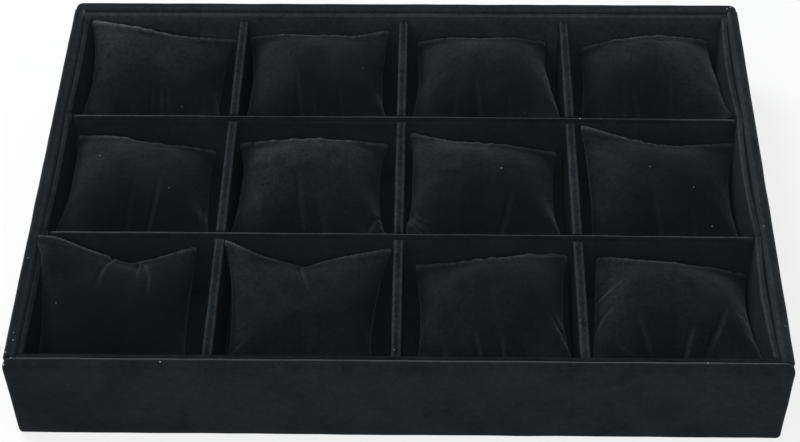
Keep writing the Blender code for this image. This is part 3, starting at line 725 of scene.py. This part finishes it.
# Lint and dust as on the real tray: for each speck the piece it lies on, its place and its
# size in mm. lie: how far above that piece its middle is, in radii. round and lumps: the
# size of a speck and how much its lumps change that, lump: their length in radii. fluff: how
# fine its two colours are mixed, in spots for each metre.
lint = {"colour": (0.30, 0.33, 0.35), "dust": (0.12, 0.13, 0.14), "fluff": 2500.0,
        "rough": 0.9, "sheen": 0.3, "lie": 0.25, "round": 0.75, "lumps": 0.7, "lump": 0.8,
        "specks": [("pillow_row_2_column_1", -149.4, 14.8, 0.7),
                   ("pillow_row_2_column_1", -113.9, -2.3, 0.6),
                   ("pillow_row_2_column_3", 48.8, 8.1, 0.9),
                   ("pillow_row_2_column_4", 121.2, 8.1, 0.6),
                   ("pillow_row_2_column_4", 142.0, -1.9, 0.7),
                   ("pillow_row_2_column_4", 150.0, -20.5, 0.9),
                   ("pillow_row_1_column_1", -114.4, 61.4, 0.5),
                   ("pillow_row_1_column_2", -21.5, 82.9, 0.5),
                   ("pillow_row_1_column_3", 62.0, 55.5, 0.5),
                   ("pillow_row_3_column_4", 158.4, -76.0, 0.5),
                   ("pillow_row_3_column_1", -158.0, -78.0, 0.6),
                   ("row_divider_1", 88.6, 39.9, 1.0), ("column_divider_2", -1.6, -107.8, 0.7),
                   ("right_wall", 170.6, -36.2, 0.7), ("right_wall", 173.1, -96.4, 0.7),
                   ("front_wall", -104.5, -119.4, 0.8), ("front_wall", 136.4, -118.0, 0.9),
                   ("front_wall", -171.0, -117.8, 0.9), ("left_wall", -171.4, -107.6, 0.8),
                   ("left_wall", -172.0, -103.5, 0.6), ("left_wall", -172.4, -59.0, 0.6),
                   ("left_wall", -174.0, -118.0, 1.5), ("left_wall", -173.7, -114.6, 1.2),
                   ("left_wall", -174.1, -110.4, 0.9), ("front_wall", -173.6, -120.6, 1.3),
                   ("back_wall", 171.5, 119.4, 1.4), ("back_wall", 169.6, 118.0, 1.0)]}


def addLint():
    material = bpy.data.materials.new("lint")
    material.use_nodes = True
    shader = material.node_tree.nodes["Principled BSDF"]
    start = Thread(material.node_tree, None)
    place = start.knot("ShaderNodeTexCoord", out="Object")
    fluff = start.knot("ShaderNodeTexNoise", {}, {"Vector": place, "Scale": lint["fluff"]})
    colour = blendColours(start, fluff, (*lint["dust"], 1), (*lint["colour"], 1))
    material.node_tree.links.new(colour.socket, shader.inputs["Base Color"])
    shader.inputs["Roughness"].default_value = lint["rough"]
    shader.inputs["Sheen Weight"].default_value = lint["sheen"]
    specks = []
    for nodeName, x, y, size in lint["specks"]:
        above = Vector((x * mm, y * mm, 0.1))
        spot, normal = finished[nodeName].ray_cast(above, Vector((0, 0, -1)))[1:3]
        radius = size * mm / 2
        deselectAll()
        bpy.ops.mesh.primitive_ico_sphere_add(subdivisions=2, radius=radius,
                                              location=spot + normal * radius * lint["lie"])
        speck = bpy.context.object
        for vertex in speck.data.vertices:
            lump = noise.noise((vertex.co + spot) / (lint["lump"] * radius))
            vertex.co *= lint["round"] + lint["lumps"] * lump
        specks.append(speck)
    deselectAll()
    for speck in specks:
        speck.select_set(True)
    bpy.context.view_layer.objects.active = specks[0]
    bpy.ops.object.join()
    bpy.ops.object.transform_apply(location=True, rotation=True, scale=True)
    bpy.ops.object.shade_smooth()
    fluffs = bpy.context.object
    fluffs.name = "lint"
    fluffs.data.materials.append(material)
    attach(fluffs, "root")


addLint()
print("lint scattered")


# Watts of the two lamps, their width and place, the strength and tint of the room around
# them, the table's width, colour and roughness and how far it lies below the tray. white:
# how much of what the camera sees of the table is pure white.
studio = {"key": 29.0, "key size": 0.9, "key place": (-0.95, 0.9, 1.6),
          "fill": 10.0, "fill size": 1.4, "fill place": (-0.4, -1.6, 1.1),
          "world": 0.42, "tint": (0.93, 0.97, 1.0, 1), "table": 6, "drop": 0.0004,
          "top": (0.9, 0.9, 0.9, 1), "rough": 0.9, "white": 0.8}
# The camera as fitted to the photo, in metres, degrees and, for lens and sensor, mm.
cameraView = {"place": (0.015232, -0.607812, 0.680091), "elevation": 47.641, "turn": 1.540,
              "roll": -0.791, "lens": 81.268, "sensor": 36, "near": 0.05, "far": 20}


def seenRay(start):  # 1 for a ray from the camera, a gloss or a clear body, 0 for light
    camera = start.knot("ShaderNodeLightPath", out="Is Camera Ray")
    gloss = start.knot("ShaderNodeLightPath", out="Is Glossy Ray")
    clear = start.knot("ShaderNodeLightPath", out="Is Transmission Ray")
    return start.knot("ShaderNodeClamp", {}, {"Value": camera + gloss + clear})


def makeFloor():
    deselectAll()
    bpy.ops.mesh.primitive_plane_add(size=studio["table"], location=(0, 0, -studio["drop"]))
    floor = bpy.context.object
    floor.name = "floor"
    material = bpy.data.materials.new("white table")
    material.use_nodes = True
    tree = material.node_tree
    shader = tree.nodes["Principled BSDF"]
    shader.inputs["Base Color"].default_value = studio["top"]
    shader.inputs["Roughness"].default_value = studio["rough"]
    start = Thread(tree, None)
    seen = seenRay(start)
    glow = start.knot("ShaderNodeEmission", {}, {"Color": (1, 1, 1, 1), "Strength": 1.0})
    shaded = Thread(tree, shader.outputs[0])
    mixed = start.knot("ShaderNodeMixShader", {}, {0: seen * studio["white"], 1: shaded, 2: glow})
    tree.links.new(mixed.socket, tree.nodes["Material Output"].inputs["Surface"])
    floor.data.materials.append(material)


def makeLight(name):
    place = studio[name + " place"]
    deselectAll()
    bpy.ops.object.light_add(type="AREA", location=place)
    light = bpy.context.object
    light.name = name
    light.data.size = studio[name + " size"]
    light.data.energy = studio[name]
    light.rotation_euler = (-Vector(place)).to_track_quat("-Z", "Y").to_euler()


def makeWorld():
    world = bpy.data.worlds.new("studio")
    scene.world = world
    world.use_nodes = True
    tree = world.node_tree
    start = Thread(tree, None)
    seen = seenRay(start)
    soft = start.knot("ShaderNodeBackground", {}, {"Color": studio["tint"],
                                                   "Strength": studio["world"]})
    white = start.knot("ShaderNodeBackground", {}, {"Color": (1, 1, 1, 1), "Strength": 1.0})
    mixed = start.knot("ShaderNodeMixShader", {}, {0: seen, 1: soft, 2: white})
    tree.links.new(mixed.socket, tree.nodes["World Output"].inputs["Surface"])


def makeCamera():
    data = bpy.data.cameras.new("camera")
    camera = bpy.data.objects.new("camera", data)
    scene.collection.objects.link(camera)
    data.lens = cameraView["lens"]
    data.sensor_width = cameraView["sensor"]
    data.clip_start = cameraView["near"]
    data.clip_end = cameraView["far"]
    turn = Matrix.Rotation(math.radians(cameraView["turn"]), 4, "Z")
    tilt = Matrix.Rotation(math.radians(90 - cameraView["elevation"]), 4, "X")
    roll = Matrix.Rotation(math.radians(cameraView["roll"]), 4, "Z")
    camera.matrix_world = Matrix.Translation(cameraView["place"]) @ turn @ tilt @ roll
    scene.camera = camera


scene.view_settings.view_transform = "Standard"
makeFloor()
makeWorld()
makeLight("key")
makeLight("fill")
makeCamera()
print("studio set")
